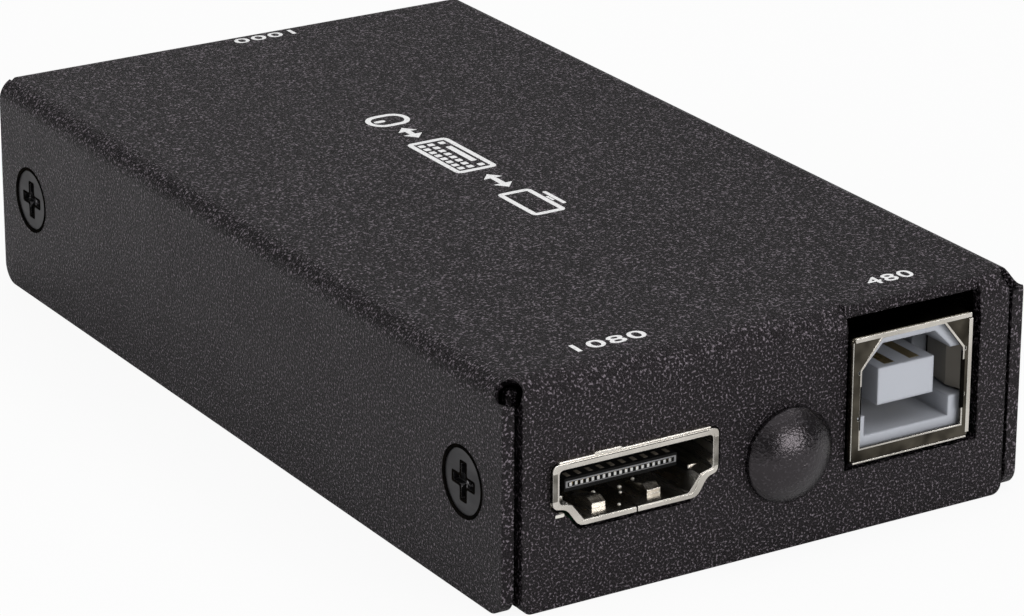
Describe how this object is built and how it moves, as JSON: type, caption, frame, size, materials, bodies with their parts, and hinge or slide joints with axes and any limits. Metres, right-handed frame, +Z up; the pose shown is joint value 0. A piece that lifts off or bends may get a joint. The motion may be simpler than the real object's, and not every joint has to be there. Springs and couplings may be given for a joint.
{
  "type": "kvm dongle",
  "caption": "Small black sheet-metal adapter for a keyboard, video and mouse switch, with a video socket, a blanked hole and a square data socket at the front and a network jack at the rear.",
  "frame": {"origin": "middle of the case's flat underside", "axes": "+X to the right as seen from the front panel, +Y from the front panel to the rear panel, +Z up"},
  "size_m": [0.0504, 0.0928, 0.0197],
  "materials": {
    "cover_paint": "fine-grained matt powder coat",
    "tray_paint": "fine-grained matt powder coat",
    "screw_black": "black plating, satin",
    "post_steel": "zinc plated",
    "board_laminate": "green solder mask",
    "plug_plastic": "satin moulded",
    "nickel_shell": "nickel plated",
    "socket_black": "moulded",
    "socket_white": "moulded, pale grey white",
    "contact_gold": "gold flash",
    "lens_clear": "frosted clear",
    "chip_black": "moulded",
    "lead_tin": "tinned",
    "coil_grey": "pressed ferrite",
    "can_aluminium": "bare",
    "crystal_steel": "plated can",
    "ceramic_tan": "ceramic",
    "resistor_black": "glazed"
  },
  "bodies": {
    "root": {"top_cover": "cover_paint", "base_tray": "tray_paint", "side_screws": "screw_black", "standoffs": "post_steel", "board_screws": "post_steel", "circuit_board": "board_laminate", "hole_plug": "plug_plastic", "video_socket_shell": "nickel_shell", "video_socket_insulator": "socket_black", "video_socket_contacts": "contact_gold", "data_socket_shell": "nickel_shell", "data_socket_insulator": "socket_white", "data_socket_contacts": "contact_gold", "network_jack_shield": "nickel_shell", "network_jack_housing": "socket_black", "network_jack_contacts": "contact_gold", "network_jack_lenses": "lens_clear", "video_processor": "chip_black", "network_controller": "chip_black", "power_regulator": "chip_black", "memory_chip": "chip_black", "network_transformer": "chip_black", "memory_chip_leads": "lead_tin", "network_transformer_leads": "lead_tin", "power_inductor": "coil_grey", "filter_capacitors": "can_aluminium", "clock_crystals": "crystal_steel", "chip_capacitors": "ceramic_tan", "chip_resistors": "resistor_black", "surge_protectors": "chip_black", "line_chokes": "coil_grey"}
  },
  "joints": []
}
